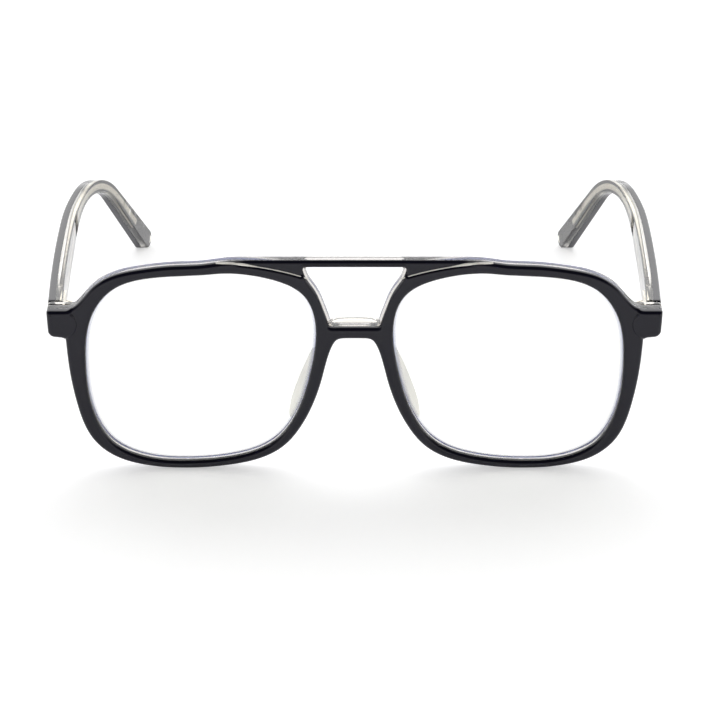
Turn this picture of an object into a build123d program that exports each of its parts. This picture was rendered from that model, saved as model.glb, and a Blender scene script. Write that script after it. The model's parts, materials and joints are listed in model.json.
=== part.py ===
from build123d import *
import math
import os

# Spectacles with a double bridge. Millimetres, +Z up, the wearer looks towards -Y.
# The rims and the temple tips stand on z = 0. The origin is the middle of the footprint.
# Depths behind the front face of the rims are called "back" below.

# ---------------------------------------------------------------- overall
overall_depth = 132.0        # front of the endpiece bosses to the back of the temple tips
front_half_width = 72.6      # at the endpieces
bar_top_z = 55.0             # flat top of the brow bar

# ---------------------------------------------------------------- front, layers
black_t = 1.4                # black layer of the rims
bar_step = 0.6               # the brow bar lies this far behind the rims
boss_h = 0.6                 # endpiece bosses stand proud of the rims
clear_t = 2.4                # clear layer behind the black one
block_t = 1.6                # clear blocks glued behind the endpieces
saddle_t = 3.0               # clear block glued behind the lower bridge
edge_round = 0.4             # polished edges of the front face
saddle_round = 0.9
saddle_half = 7.4            # half width of the saddle block at its shoulders
saddle_crown = 0.45          # its arch rises this far over the gap's lower edge
saddle_low_z = 32.0
gap_lip = 0.55               # the clear layer shows this far inside the gap, at its sides

spare = 1.0                  # cutting bodies reach this far past what they cut

y_face = -overall_depth / 2 + boss_h
back_black = black_t
back_clear = back_black + clear_t
back_block = back_clear + block_t
back_saddle = back_clear + saddle_t

# ---------------------------------------------------------------- lenses
lens_t = 1.6
lens_radius = 400.0          # nearly flat, no power
lens_set_back = 1.0          # crown of the lens behind the rim face
lens_middle = (36.5, 26.5)   # place of the crown
tongue_h = 0.55              # edge of the lens held in the groove
tongue_t = 0.8
tongue_root = 1.2            # how far the ring reaches into the lens
outline_steps = 28           # points carried over to a grown lens outline
tongue_back = 2.2
lens_fit = 0.05              # clearance of the lens in rim and groove

# ---------------------------------------------------------------- hinges
endpiece_top_z = 42.4
endpiece_bottom_z = 35.3
hinge_z = (endpiece_top_z + endpiece_bottom_z) / 2
knuckle_r = 1.15
barrel_h = 4.8
knuckle_gap = 0.1
middle_knuckle_h = 1.7
screw_r = 0.5
screw_fit = 0.03             # screw in the two front knuckles
pin_fit = 0.07               # screw in the turning knuckle
screw_head_r = 0.9
screw_head_h = 0.5
slot_w = 0.25
plate_t = 0.9
plate_fit = 0.05             # let-in hinge plates in their pockets
front_plate_w = 3.6
front_plate_h = 5.0
temple_plate_l = 9.5
temple_plate_h = 3.0
barrel_gap = 0.2             # barrel to the endpiece and to the temple
seam_gap = 0.2               # temple end to the endpiece

# ---------------------------------------------------------------- temples
temple_t = 3.4
outer_layer_t = 1.7          # black layer; the clear one takes the rest
bow_angle = 3.6              # outward lean at the hinge
bow_end = 58.0               # widest place, behind the face
wrap_end = 90.0              # the inward curve ends here
wrap_angle = 13.6
shaft_fall = 2.4             # fall of the top edge, degrees
tip_angle = 42.5             # fall of the top edge behind the ear bend
bend_r = 40.0
bend_h = 3.3                 # height of the temple at the bend
tip_end_r = 2.5
wire_t = 0.8
wire_h = 1.5
wire_start = 18.0            # ends of the core wire, behind the face and before the tip
wire_end_gap = 12.4
wire_mid = 55.0
wire_drops = (4.7, 5.6)      # middle of the wire under the temple's top corner, at its start and wire_mid
belly_drops = [(wire_mid, 1.9), (30.0, 2.3)]   # lower edge under the endpiece's, from back to front
wire_fit = 0.04

# ---------------------------------------------------------------- nose pads
pad_x = 10.3                 # middle of the pad foot
pad_z = 20.2
pad_w = 3.0
pad_l = 23.0
pad_lean = 18.0              # follows the rim
pad_back = 4.6               # height of the pad behind the rim
pad_flare = 2.3              # outward shift of the worn face

# ---------------------------------------------------------------- outlines, right half
lens_points = [
    (33.0, 51.6), (46.5, 50.7), (56.8, 47.5), (62.0, 40.5), (63.8, 28.5),
    (62.8, 16.8), (57.6, 6.6), (50.0, 2.9), (39.5, 2.05), (28.5, 3.3),
    (20.0, 6.8), (13.6, 15.6), (10.1, 28.0), (9.2, 37.5), (12.0, 46.0), (19.5, 50.2),
]
brow_line = [(36.0, 54.0), (42.5, 53.7), (50.0, 52.8), (56.4, 51.3), (61.4, 48.3), (64.6, 44.6)]
brow_end = (68.3, endpiece_top_z)
outer_side = [(67.9, 27.5), (66.3, 17.2), (62.5, 7.4), (56.2, 2.5), (49.0, 0.55)]
foot = (40.0, 0.0)
inner_side = [(30.6, 0.75), (22.8, 2.6), (17.2, 5.8), (13.0, 11.0), (9.9, 17.3), (7.8, 23.8), (6.4, 29.5)]
nose_top_z = 34.9
gap_side = [(11.6, 50.8), (10.0, 48.2), (8.6, 45.6), (7.5, 42.6)]
gap_top_z = 53.2
gap_bottom_z = 37.8
gap_half_top = 12.4
gap_half_bottom = 6.0
gap_round = 0.7
endpiece_start_x = 68.4      # the rim's outline meets the endpiece's lower edge
crease = [(10.0, 50.0), (20.0, 53.0), (27.0, 54.1), (32.5, 54.5)]
bar_flat_x = 27.0            # the flat top of the bar ends here
boss_mid = (65.5, 38.6)      # innermost place of the round boss edge
block_mid = (64.9, 38.6)


def at_back(back):
    """Upright plane facing the viewer, this far behind the rim face."""
    return Plane(origin=(0, y_face + back, 0), x_dir=(1, 0, 0), z_dir=(0, -1, 0))


def side_plane():
    return Plane(origin=(0, y_face, 0), x_dir=(0, 1, 0), z_dir=(1, 0, 0))


def level_plane(z):
    return Plane(origin=(0, y_face, z), x_dir=(1, 0, 0), z_dir=(0, 0, 1))


# corners of the endpiece outline: place and radius
end_corners = [
    (front_half_width, endpiece_top_z, 0.5),
    (front_half_width - 0.25, endpiece_bottom_z + 0.4, 1.7),
    (endpiece_start_x, endpiece_bottom_z, 1.0),
]

# ---------------------------------------------------------------- flat outlines
with BuildSketch() as outer_shape:
    with BuildLine():
        bar = Line((0, bar_top_z), (bar_flat_x, bar_top_z))
        brow = Spline(bar @ 1, *brow_line, brow_end, tangents=[(1, 0), (1, -0.08)])
        end = Polyline(brow @ 1, (front_half_width, endpiece_top_z),
                       (front_half_width - 0.25, endpiece_bottom_z + 0.4), (endpiece_start_x, endpiece_bottom_z))
        outer = Spline(end @ 1, *outer_side, foot, tangents=[(-0.05, -1), (-1, 0)])
        inner = Spline(foot, *inner_side, (4.4, nose_top_z - 0.7), (0, nose_top_z),
                       tangents=[(-1, 0), (-1, 0)])
        mirror(about=Plane.YZ)
    make_face()
    for x, z, r in end_corners:
        fillet(outer_shape.vertices().sort_by_distance((x, z, 0))[0], r)
        fillet(outer_shape.vertices().sort_by_distance((-x, z, 0))[0], r)

lens_edge = Spline(*lens_points, periodic=True)


def lens_outline(grow):
    """Closed lens outline, every point moved outwards along its normal by this much."""
    moved = []
    for i in range(outline_steps):
        along = lens_edge.tangent_at(i / outline_steps)
        moved.append(lens_edge.position_at(i / outline_steps) + Vector(-along.Y, along.X, 0) * grow)
    with BuildSketch() as shape:
        with BuildLine():
            Spline(*moved, periodic=True)
        make_face()
    return shape.sketch


with BuildSketch() as lens_shape:
    with BuildLine():
        add(lens_edge)
    make_face()


def gap_outline(lip):
    """Opening between bar and lower bridge, with its sides this far inside the black layer's."""
    with BuildSketch() as shape:
        with BuildLine():
            top = Line((0, gap_top_z), (gap_half_top - lip, gap_top_z))
            side = Spline(top @ 1, *[(x - lip, z) for x, z in gap_side], (gap_half_bottom - lip, gap_bottom_z),
                          tangents=[(-0.35, -1), (-0.25, -1)])
            Line(side @ 1, (0, gap_bottom_z))
            mirror(about=Plane.YZ)
        make_face()
        fillet(shape.vertices(), gap_round)
    return shape.sketch


# everything above the crease between the rims and the brow bar
with BuildSketch() as bar_shape:
    with BuildLine():
        low = Spline(*crease, tangents=[(1, 0.45), (1, 0.1)])
        Polyline(low @ 1, (crease[-1][0] + spare, bar_top_z + spare), (0, bar_top_z + spare))
        Line((0, crease[0][1]), low @ 0)
        mirror(about=Plane.YZ)
    make_face()

# the endpiece boss: round towards the lens
with BuildSketch() as boss_shape:
    with BuildLine():
        arc = ThreePointArc((67.6, endpiece_top_z), boss_mid, (endpiece_start_x, endpiece_bottom_z - 0.1))
        outside = front_half_width + spare
        Polyline(arc @ 1, (outside, endpiece_bottom_z - 0.1), (outside, endpiece_top_z), arc @ 0)
    make_face()
    mirror(about=Plane.YZ)
    add(outer_shape.sketch, mode=Mode.INTERSECT)


def rim_outline(lip):
    """Front view of a layer of the rims, with its bridge gap this much narrower at each side."""
    with BuildSketch() as shape:
        add(outer_shape.sketch)
        add(lens_shape.sketch, mode=Mode.SUBTRACT)
        add(lens_shape.sketch.mirror(Plane.YZ), mode=Mode.SUBTRACT)
        add(gap_outline(lip), mode=Mode.SUBTRACT)
    return shape.sketch


# ring that the groove holds
with BuildSketch() as tongue_shape:
    add(lens_outline(tongue_h))
    add(lens_outline(-tongue_root), mode=Mode.SUBTRACT)

# clear block behind the lower bridge: arched top, follows the nose arch below
with BuildSketch() as saddle_shape:
    with BuildLine():
        arch = ThreePointArc((-saddle_half, gap_bottom_z - 0.7), (0, gap_bottom_z + saddle_crown),
                             (saddle_half, gap_bottom_z - 0.7))
        Polyline(arch @ 1, (saddle_half + 0.4, saddle_low_z), (-saddle_half - 0.4, saddle_low_z), arch @ 0)
    make_face()
    add(outer_shape.sketch, mode=Mode.INTERSECT)

with BuildSketch() as block_shape:
    with BuildLine():
        arc = ThreePointArc((65.2, endpiece_top_z), block_mid, (67.5, endpiece_bottom_z - spare))
        Polyline(arc @ 1, (outside, endpiece_bottom_z - spare), (outside, endpiece_top_z), arc @ 0)
    make_face()
    add(outer_shape.sketch, mode=Mode.INTERSECT)

# ================================================================ hinge axis and plates
hinge_x = front_half_width - temple_t - barrel_gap - knuckle_r
hinge_back = back_block + barrel_gap + knuckle_r
barrel_low = hinge_z - barrel_h / 2
middle_low = hinge_z - middle_knuckle_h / 2
outer_knuckle_h = (barrel_h - middle_knuckle_h) / 2 - knuckle_gap
plate_back = back_block - plate_t
plate_x0 = hinge_x + 0.4 - front_plate_w     # the plate's outer edge lies 0.4 outside the axis
anchor_x = plate_x0 + 0.9
anchor_gap = 2.6             # between the two anchor studs on the back of the plate
anchor_r = 0.45
anchor_l = 0.45
temple_start = back_block + seam_gap

# ================================================================ temple outlines
lean = math.radians(bow_angle)
wrap = math.radians(wrap_angle)
bow_r = (bow_end - temple_start) / math.sin(lean)
widest_x = front_half_width + bow_r * (1 - math.cos(lean))
wrap_r = (wrap_end - bow_end) / math.sin(wrap)
run_l = (overall_depth - wrap_end) / math.cos(wrap)

fall = math.radians(shaft_fall)
tip = math.radians(tip_angle)
tip_back = overall_depth - boss_h
end_c = (tip_back - tip_end_r, tip_end_r)
upper_end = (end_c[0] + tip_end_r * math.sin(tip), end_c[1] + tip_end_r * math.cos(tip))
# the two straight top edges meet here
meet_y = ((upper_end[1] + upper_end[0] * math.tan(tip) - endpiece_top_z - temple_start * math.tan(fall))
          / (math.tan(tip) - math.tan(fall)))
meet_z = endpiece_top_z - (meet_y - temple_start) * math.tan(fall)
run_out = bend_r * math.tan((tip - fall) / 2)
bend_start = (meet_y - run_out * math.cos(fall), meet_z + run_out * math.sin(fall))
bend_stop = (meet_y + run_out * math.cos(tip), meet_z - run_out * math.sin(tip))
bend_mid = (fall + tip) / 2
bend_c = (bend_start[0] - bend_r * math.sin(fall), bend_start[1] - bend_r * math.cos(fall))


def bend_point(angle, depth):
    """Point under the top edge of the bend, where the edge falls by this angle."""
    r = bend_r - depth
    return (bend_c[0] + r * math.sin(angle), bend_c[1] + r * math.cos(angle))


with BuildSketch() as side_shape:
    with BuildLine():
        top = Line((temple_start, endpiece_top_z), bend_start)
        bend = ThreePointArc(top @ 1, bend_point(bend_mid, 0), bend_stop)
        down = Line(bend @ 1, upper_end)
        low_stop = bend_point(tip, bend_h)
        gap_y = end_c[0] - low_stop[0]
        gap_z = end_c[1] - low_stop[1]
        low_angle = math.asin(tip_end_r / math.hypot(gap_y, gap_z)) - math.atan2(gap_z, gap_y)
        lower_end = (end_c[0] - tip_end_r * math.sin(low_angle), end_c[1] - tip_end_r * math.cos(low_angle))
        tip_low = (end_c[0], 0)
        tip_rear = (tip_back, tip_end_r)
        round_up = ThreePointArc(down @ 1, (end_c[0] + tip_end_r * math.cos(0.12),
                                            end_c[1] + tip_end_r * math.sin(0.12)), tip_rear)
        round_low = ThreePointArc(tip_rear, (end_c[0] + tip_end_r * math.sin(0.7),
                                             end_c[1] - tip_end_r * math.cos(0.7)), tip_low)
        round_end = ThreePointArc(tip_low, (end_c[0] - tip_end_r * math.sin(low_angle / 2),
                                            end_c[1] - tip_end_r * math.cos(low_angle / 2)), lower_end)
        front_edge = Line(round_end @ 1, low_stop)
        belly = Spline(front_edge @ 1, bend_point(bend_mid, bend_h), bend_point(fall, bend_h),
                       *[(y, endpiece_bottom_z - drop) for y, drop in belly_drops],
                       (temple_start, endpiece_bottom_z),
                       tangents=[(-math.cos(low_angle), math.sin(low_angle)), (-1, 0.12)])
        Line(belly @ 1, top @ 0)
    make_face()


def wire_side(grow):
    """Side view of the core wire, along the middle of the temple."""
    half = wire_h / 2 + grow
    middle = bend_point(tip, bend_h / 2)
    wire_end = tip_back - wire_end_gap
    share = (wire_end - middle[0]) / (end_c[0] - middle[0])
    end_z = middle[1] + (end_c[1] - middle[1]) * share
    edges = []
    for up in (half, -half):
        stop = (wire_end + grow + up * math.sin(tip), end_z + up * math.cos(tip))
        edges.append([(wire_start - grow, endpiece_top_z - wire_drops[0] + up),
                      (wire_mid, endpiece_top_z - wire_drops[1] + up),
                      *[bend_point(angle, bend_h / 2 - up) for angle in (fall, bend_mid, tip)], stop])
    with BuildSketch() as view:
        with BuildLine():
            upper = Spline(*edges[0])
            lower = Spline(*edges[1])
            Line(upper @ 0, lower @ 0)
            Line(upper @ 1, lower @ 1)
        make_face()
    return view.sketch


def plan_band(near, far):
    """Plan view of one layer of the right temple between two depths under its outer face."""
    with BuildSketch() as band:
        with BuildLine():
            for depth in (near, far):
                bow = CenterArc((widest_x - bow_r, bow_end), bow_r - depth, -bow_angle - 1, bow_angle + 1)
                curl = CenterArc((widest_x - wrap_r, bow_end), wrap_r - depth, 0, wrap_angle)
                run = Line(curl @ 1, (curl @ 1) + Vector(-math.sin(wrap), math.cos(wrap)) * run_l)
                ends = (bow @ 0, run @ 1)
                if depth == near:
                    first = ends
            Line(first[0], ends[0])
            Line(first[1], ends[1])
        make_face()
    return band.sketch


# ================================================================ front
with BuildPart() as front_black_layer:
    with BuildSketch(at_back(back_black)):
        add(rim_outline(0))
    extrude(amount=black_t)
    with BuildSketch(at_back(bar_step)):
        add(bar_shape.sketch)
    extrude(amount=bar_step + spare, mode=Mode.SUBTRACT)
    rim_face = front_black_layer.faces().filter_by(Axis.Y).sort_by(Axis.Y)[0]
    fillet(rim_face.edges(), edge_round)
    with BuildSketch(at_back(bar_step)):
        add(boss_shape.sketch)
    extrude(amount=boss_h + bar_step)
front_black_layer.part.label = "front_black_layer"

with BuildPart() as front_clear_layer:
    with BuildSketch(at_back(back_clear)):
        add(rim_outline(gap_lip))
    extrude(amount=clear_t)
    with BuildSketch(at_back(tongue_back + tongue_t + lens_fit)):
        add(lens_outline(tongue_h + lens_fit))
    extrude(amount=tongue_t + 2 * lens_fit, mode=Mode.SUBTRACT)
    mirror(about=Plane.YZ, mode=Mode.INTERSECT)
front_clear_layer.part.label = "front_clear_layer"

with BuildPart() as bridge_block:
    with BuildSketch(at_back(back_saddle)):
        add(saddle_shape.sketch)
    extrude(amount=saddle_t)
    saddle_face = bridge_block.faces().filter_by(Axis.Y).sort_by(Axis.Y)[-1]
    fillet(saddle_face.edges(), saddle_round)
bridge_block.part.label = "bridge_block"

with BuildPart() as lens_right:
    with BuildSketch(at_back(tongue_back + tongue_t)):
        add(lens_outline(-lens_fit))
    extrude(amount=back_clear, both=True)
    with Locations((lens_middle[0], y_face + lens_set_back + lens_radius, lens_middle[1])):
        Sphere(lens_radius, mode=Mode.INTERSECT)
        Sphere(lens_radius - lens_t, mode=Mode.SUBTRACT)
    with BuildSketch(at_back(tongue_back + tongue_t)):
        add(tongue_shape.sketch)
    extrude(amount=tongue_t)
lens_right.part.label = "lens_right"


with BuildPart() as nose_pad_right:
    for back, shift, shrink in ((0, 0, 0), (pad_back * 0.5, pad_flare * 0.35, 0.3),
                                (pad_back * 0.9, pad_flare * 0.9, 1.4), (pad_back, pad_flare, 2.4)):
        with BuildSketch(at_back(back_clear + back)):
            with Locations((pad_x + shift, pad_z)):
                Ellipse(pad_w / 2 - shrink * 0.35, pad_l / 2 - shrink, rotation=pad_lean)
    loft()
nose_pad_right.part.label = "nose_pad_right"

with BuildPart() as hinge_front_leaf_right:
    with BuildSketch(level_plane(hinge_z - front_plate_h / 2)):
        with Locations((plate_x0 + front_plate_w / 2, plate_back + plate_t / 2)):
            Rectangle(front_plate_w, plate_t)
    extrude(amount=front_plate_h)
    for low in (barrel_low, barrel_low + barrel_h - outer_knuckle_h):
        with BuildSketch(level_plane(low)):
            with Locations((hinge_x, hinge_back)):
                Circle(knuckle_r)
            with Locations((hinge_x - knuckle_r / 2, (back_block + hinge_back) / 2)):
                Rectangle(knuckle_r, hinge_back - back_block + 0.1)
        extrude(amount=outer_knuckle_h)
    with BuildSketch(at_back(plate_back)):
        with Locations((anchor_x, hinge_z - anchor_gap / 2), (anchor_x, hinge_z + anchor_gap / 2)):
            Circle(anchor_r)
    extrude(amount=anchor_l)
    with BuildSketch(level_plane(barrel_low - spare)):
        with Locations((hinge_x, hinge_back)):
            Circle(screw_r + screw_fit)
    extrude(amount=barrel_h + 2 * spare, mode=Mode.SUBTRACT)
hinge_front_leaf_right.part.label = "hinge_front_leaf_right"

with BuildPart() as hinge_screw_right:
    with BuildSketch(level_plane(barrel_low + 0.1)):
        with Locations((hinge_x, hinge_back)):
            Circle(screw_r)
    extrude(amount=barrel_h)
    with BuildSketch(level_plane(barrel_low + barrel_h)):
        with Locations((hinge_x, hinge_back)):
            Circle(screw_head_r)
    extrude(amount=screw_head_h)
    fillet(hinge_screw_right.edges().group_by(Axis.Z)[-1], 0.15)
    with BuildSketch(level_plane(barrel_low + barrel_h + screw_head_h)):
        with Locations((hinge_x, hinge_back)):
            Rectangle(3 * screw_head_r, slot_w, rotation=35)
    extrude(amount=-screw_head_h * 0.6, mode=Mode.SUBTRACT)
hinge_screw_right.part.label = "hinge_screw_right"

with BuildPart() as endpiece_block_right:
    with BuildSketch(at_back(back_block)):
        add(block_shape.sketch)
    extrude(amount=block_t)
    with BuildSketch(level_plane(hinge_z - front_plate_h / 2 - plate_fit)):
        with Locations((plate_x0 + front_plate_w / 2, back_block)):
            Rectangle(front_plate_w + 2 * plate_fit, 2 * (plate_t + plate_fit))
    extrude(amount=front_plate_h + 2 * plate_fit, mode=Mode.SUBTRACT)
    with BuildSketch(at_back(plate_back)):
        with Locations((anchor_x, hinge_z - anchor_gap / 2), (anchor_x, hinge_z + anchor_gap / 2)):
            Circle(anchor_r + plate_fit)
    extrude(amount=anchor_l + plate_fit, mode=Mode.SUBTRACT)
endpiece_block_right.part.label = "endpiece_block_right"

# ================================================================ right temple
plate_x = front_half_width - temple_t
plate_start = hinge_back - 0.55

with BuildPart() as hinge_temple_leaf_right:
    with BuildSketch(level_plane(hinge_z - temple_plate_h / 2)):
        with Locations((plate_x + plate_t / 2, plate_start + temple_plate_l / 2)):
            Rectangle(plate_t, temple_plate_l)
    extrude(amount=temple_plate_h)
    with BuildSketch(level_plane(middle_low)):
        with Locations((hinge_x, hinge_back)):
            Circle(knuckle_r)
        with Locations(((hinge_x + plate_x + plate_t) / 2, hinge_back + knuckle_r / 2 - 0.3)):
            Rectangle(plate_x + plate_t - hinge_x, knuckle_r)
    extrude(amount=middle_knuckle_h)
    with BuildSketch(level_plane(middle_low - spare)):
        with Locations((hinge_x, hinge_back)):
            Circle(screw_r + pin_fit)
    extrude(amount=middle_knuckle_h + 2 * spare, mode=Mode.SUBTRACT)
hinge_temple_leaf_right.part.label = "hinge_temple_leaf_right"

with BuildPart() as temple_outer_layer_right:
    with BuildSketch(side_plane()):
        add(side_shape.sketch)
    extrude(amount=widest_x + spare)
    with BuildSketch(level_plane(-spare)):
        add(plan_band(0, outer_layer_t))
    extrude(amount=endpiece_top_z + 2 * spare, mode=Mode.INTERSECT)
temple_outer_layer_right.part.label = "temple_outer_layer_right"

clear_mid = (outer_layer_t + temple_t) / 2


def core_wire(grow):
    """Flat wire inside the clear layer, or its channel when grown."""
    with BuildPart() as wire:
        with BuildSketch(side_plane()):
            add(wire_side(grow))
        extrude(amount=widest_x + spare)
        with BuildSketch(level_plane(-spare)):
            add(plan_band(clear_mid - wire_t / 2 - grow, clear_mid + wire_t / 2 + grow))
        extrude(amount=endpiece_top_z + 2 * spare, mode=Mode.INTERSECT)
    return wire.part


wire_channel = core_wire(wire_fit)

with BuildPart() as core_wire_right:
    add(core_wire(0))
core_wire_right.part.label = "core_wire_right"

with BuildPart() as temple_inner_layer_right:
    with BuildSketch(side_plane()):
        add(side_shape.sketch)
    extrude(amount=widest_x + spare)
    with BuildSketch(level_plane(-spare)):
        add(plan_band(outer_layer_t, temple_t))
    extrude(amount=endpiece_top_z + 2 * spare, mode=Mode.INTERSECT)
    with BuildSketch(level_plane(hinge_z - temple_plate_h / 2 - plate_fit)):
        with Locations((plate_x, plate_start + temple_plate_l / 2)):
            Rectangle(2 * (plate_t + plate_fit), temple_plate_l + 2 * plate_fit)
    extrude(amount=temple_plate_h + 2 * plate_fit, mode=Mode.SUBTRACT)
    add(wire_channel, mode=Mode.SUBTRACT)
temple_inner_layer_right.part.label = "temple_inner_layer_right"

# ================================================================ left side and files
right_pieces = [
    lens_right, nose_pad_right, endpiece_block_right, hinge_front_leaf_right, hinge_screw_right,
    hinge_temple_leaf_right, temple_outer_layer_right, temple_inner_layer_right, core_wire_right,
]

os.makedirs("parts", exist_ok=True)
for middle in (front_black_layer, front_clear_layer, bridge_block):
    export_step(middle.part, "parts/" + middle.part.label + ".step")
for right in right_pieces:
    with BuildPart() as left:
        mirror(right.part, about=Plane.YZ)
    left.part.label = right.part.label.replace("_right", "_left")
    export_step(right.part, "parts/" + right.part.label + ".step")
    export_step(left.part, "parts/" + left.part.label + ".step")
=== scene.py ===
"""Finished looks of a pair of two-layer acetate spectacles, built around their CAD frame."""
import json

import bpy
import numpy as np
from bpy.props import FloatProperty, FloatVectorProperty, IntProperty, PointerProperty
from bpy.types import Operator, Panel, PropertyGroup
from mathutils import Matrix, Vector
from mathutils.geometry import delaunay_2d_cdt

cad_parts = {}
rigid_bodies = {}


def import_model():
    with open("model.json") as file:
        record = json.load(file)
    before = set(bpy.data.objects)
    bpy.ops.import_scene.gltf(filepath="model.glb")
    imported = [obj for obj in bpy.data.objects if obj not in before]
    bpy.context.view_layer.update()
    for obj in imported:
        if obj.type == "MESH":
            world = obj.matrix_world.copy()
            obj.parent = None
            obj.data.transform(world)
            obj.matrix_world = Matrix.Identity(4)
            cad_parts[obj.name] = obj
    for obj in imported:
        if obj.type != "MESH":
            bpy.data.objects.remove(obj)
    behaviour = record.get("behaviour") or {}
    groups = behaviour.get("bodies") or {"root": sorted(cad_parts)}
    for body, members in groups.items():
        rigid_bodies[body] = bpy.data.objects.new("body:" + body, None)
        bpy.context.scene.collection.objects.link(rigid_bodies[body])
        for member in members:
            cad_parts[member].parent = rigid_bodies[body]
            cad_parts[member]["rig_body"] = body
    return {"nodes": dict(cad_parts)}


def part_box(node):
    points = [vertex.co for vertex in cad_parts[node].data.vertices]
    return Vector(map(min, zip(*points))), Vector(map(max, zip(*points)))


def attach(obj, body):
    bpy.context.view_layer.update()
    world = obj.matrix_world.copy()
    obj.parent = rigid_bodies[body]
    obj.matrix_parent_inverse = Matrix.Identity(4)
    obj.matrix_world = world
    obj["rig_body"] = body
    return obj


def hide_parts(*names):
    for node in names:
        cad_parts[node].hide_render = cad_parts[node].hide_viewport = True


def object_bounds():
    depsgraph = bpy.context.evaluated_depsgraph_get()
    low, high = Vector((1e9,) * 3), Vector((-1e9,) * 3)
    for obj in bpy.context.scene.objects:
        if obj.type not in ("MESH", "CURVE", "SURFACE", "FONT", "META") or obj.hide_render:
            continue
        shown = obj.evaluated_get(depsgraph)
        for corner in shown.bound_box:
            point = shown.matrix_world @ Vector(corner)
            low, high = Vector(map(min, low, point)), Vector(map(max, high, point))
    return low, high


bl_info = {
    "name": "Two-layer spectacles",
    "version": (1, 0, 0),
    "blender": (4, 5, 0),
    "location": "3D View > Sidebar > Spectacles",
    "description": "Builds polished acetate, coated lenses and hinges around the CAD frame",
    "category": "Object",
}

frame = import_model()
CAD_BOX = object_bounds()
NODES = frame["nodes"]
MM = 0.001
SIDES = {"right": 1, "left": -1}
TINY_ROUND, BLOCK_ROUND, SADDLE_ROUND = 0.01, 0.03, 0.9  # mm: hidden, glued and saddle edges
SOFTNESS = 0.15  # mm, reach of the smoothing along the outlines of the front
ARC_STEPS = 7  # points along a rounded edge
GAP_HALF = 16.0  # mm, half the width of the zone around the open gap under the brow bar
LENS_MIDDLE = (36.5, 26.5)  # mm, x and z
LENS_RADIUS, LENS_THICKNESS = 400.0, 1.6  # mm, of its front face and at its middle
LENS_CROWN = 1.0  # mm that the middle of a lens lies behind the rim's face
BEVEL_FRONT, BEVEL_BACK = 2.2, 3.0  # mm behind the rim's face
BEVEL_DEPTH, GROOVE_FIT = 0.55, 0.05  # mm
PAD_POINTS, PAD_ROWS = 120, 25


# ------------------------------------------------------------------ reading the frame
def triangles(node):
    """Corner places in mm, (n, 3, 3), and unit normals of a CAD node's triangles."""
    mesh = NODES[node].data
    mesh.calc_loop_triangles()
    corners = np.empty(len(mesh.loop_triangles) * 3, np.int32)
    mesh.loop_triangles.foreach_get("vertices", corners)
    places = np.empty(len(mesh.vertices) * 3, np.float32)
    mesh.vertices.foreach_get("co", places)
    tri = places.reshape(-1, 3)[corners].reshape(-1, 3, 3).astype(float) / MM
    normal = np.cross(tri[:, 1] - tri[:, 0], tri[:, 2] - tri[:, 0])
    size = np.linalg.norm(normal, axis=1, keepdims=True)
    return tri[size[:, 0] > 1e-9], (normal / np.maximum(size, 1e-9))[size[:, 0] > 1e-9]


def rim_loops(tri):
    """Closed loops around a patch of triangles, in order.

    An edge used by one triangle alone is on the rim. Each rim edge points at its next one, and
    following that pointer with doubled strides puts a loop's corners in order.
    """
    flat = tri.reshape(-1, 3)
    keys, number = np.unique(np.round(flat, 3), axis=0, return_inverse=True)
    number = number.reshape(-1, 3)
    edges = np.concatenate([number[:, [0, 1]], number[:, [1, 2]], number[:, [2, 0]]])
    edges = edges[edges[:, 0] != edges[:, 1]]
    twin = edges[:, 0] * len(keys) + edges[:, 1]
    back = edges[:, 1] * len(keys) + edges[:, 0]
    rim = edges[~np.isin(twin, back)]
    follow = np.arange(len(keys))
    follow[rim[:, 0]] = rim[:, 1]
    lowest = np.arange(len(keys))
    stride = follow.copy()
    for _ in range(int(np.ceil(np.log2(len(keys)))) + 1):
        lowest = np.minimum(lowest, lowest[stride])
        stride = stride[stride]
    loops = []
    for start in np.unique(lowest[rim[:, 0]]):
        count = int(np.sum(lowest[rim[:, 0]] == start))
        order = np.array([start])
        stride = follow.copy()
        while len(order) < count:
            order = np.concatenate([order, stride[order]])
            stride = stride[stride]
        loops.append(keys[order[:count]])
    return loops


def area(loop):
    """Signed area of a flat loop, positive when it runs anticlockwise."""
    x, y = loop[:, 0], loop[:, 1]
    return 0.5 * np.sum(x * np.roll(y, -1) - np.roll(x, -1) * y)


def facing_loops(node, y):
    """Loops, as x and z, of the upright flat face of a node at this depth."""
    tri, normal = triangles(node)
    here = (np.abs(normal[:, 1]) > 0.999) & (np.abs(tri[:, :, 1].mean(axis=1) - y) < 0.02)
    return [loop[:, [0, 2]] for loop in rim_loops(tri[here])]


def skin_loop(node, side):
    """Largest loop around the outer skin of a temple piece, as depth y, height z and reach x."""
    tri, normal = triangles(node)
    loops = rim_loops(tri[normal[:, 0] * side > 0.7])
    loop = max(loops, key=lambda l: abs(area(l[:, 1:])))
    return loop[:, [1, 2, 0]] * [1, 1, side]


def box_mm(node):
    low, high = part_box(node)
    return np.array(low) / MM, np.array(high) / MM


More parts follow.
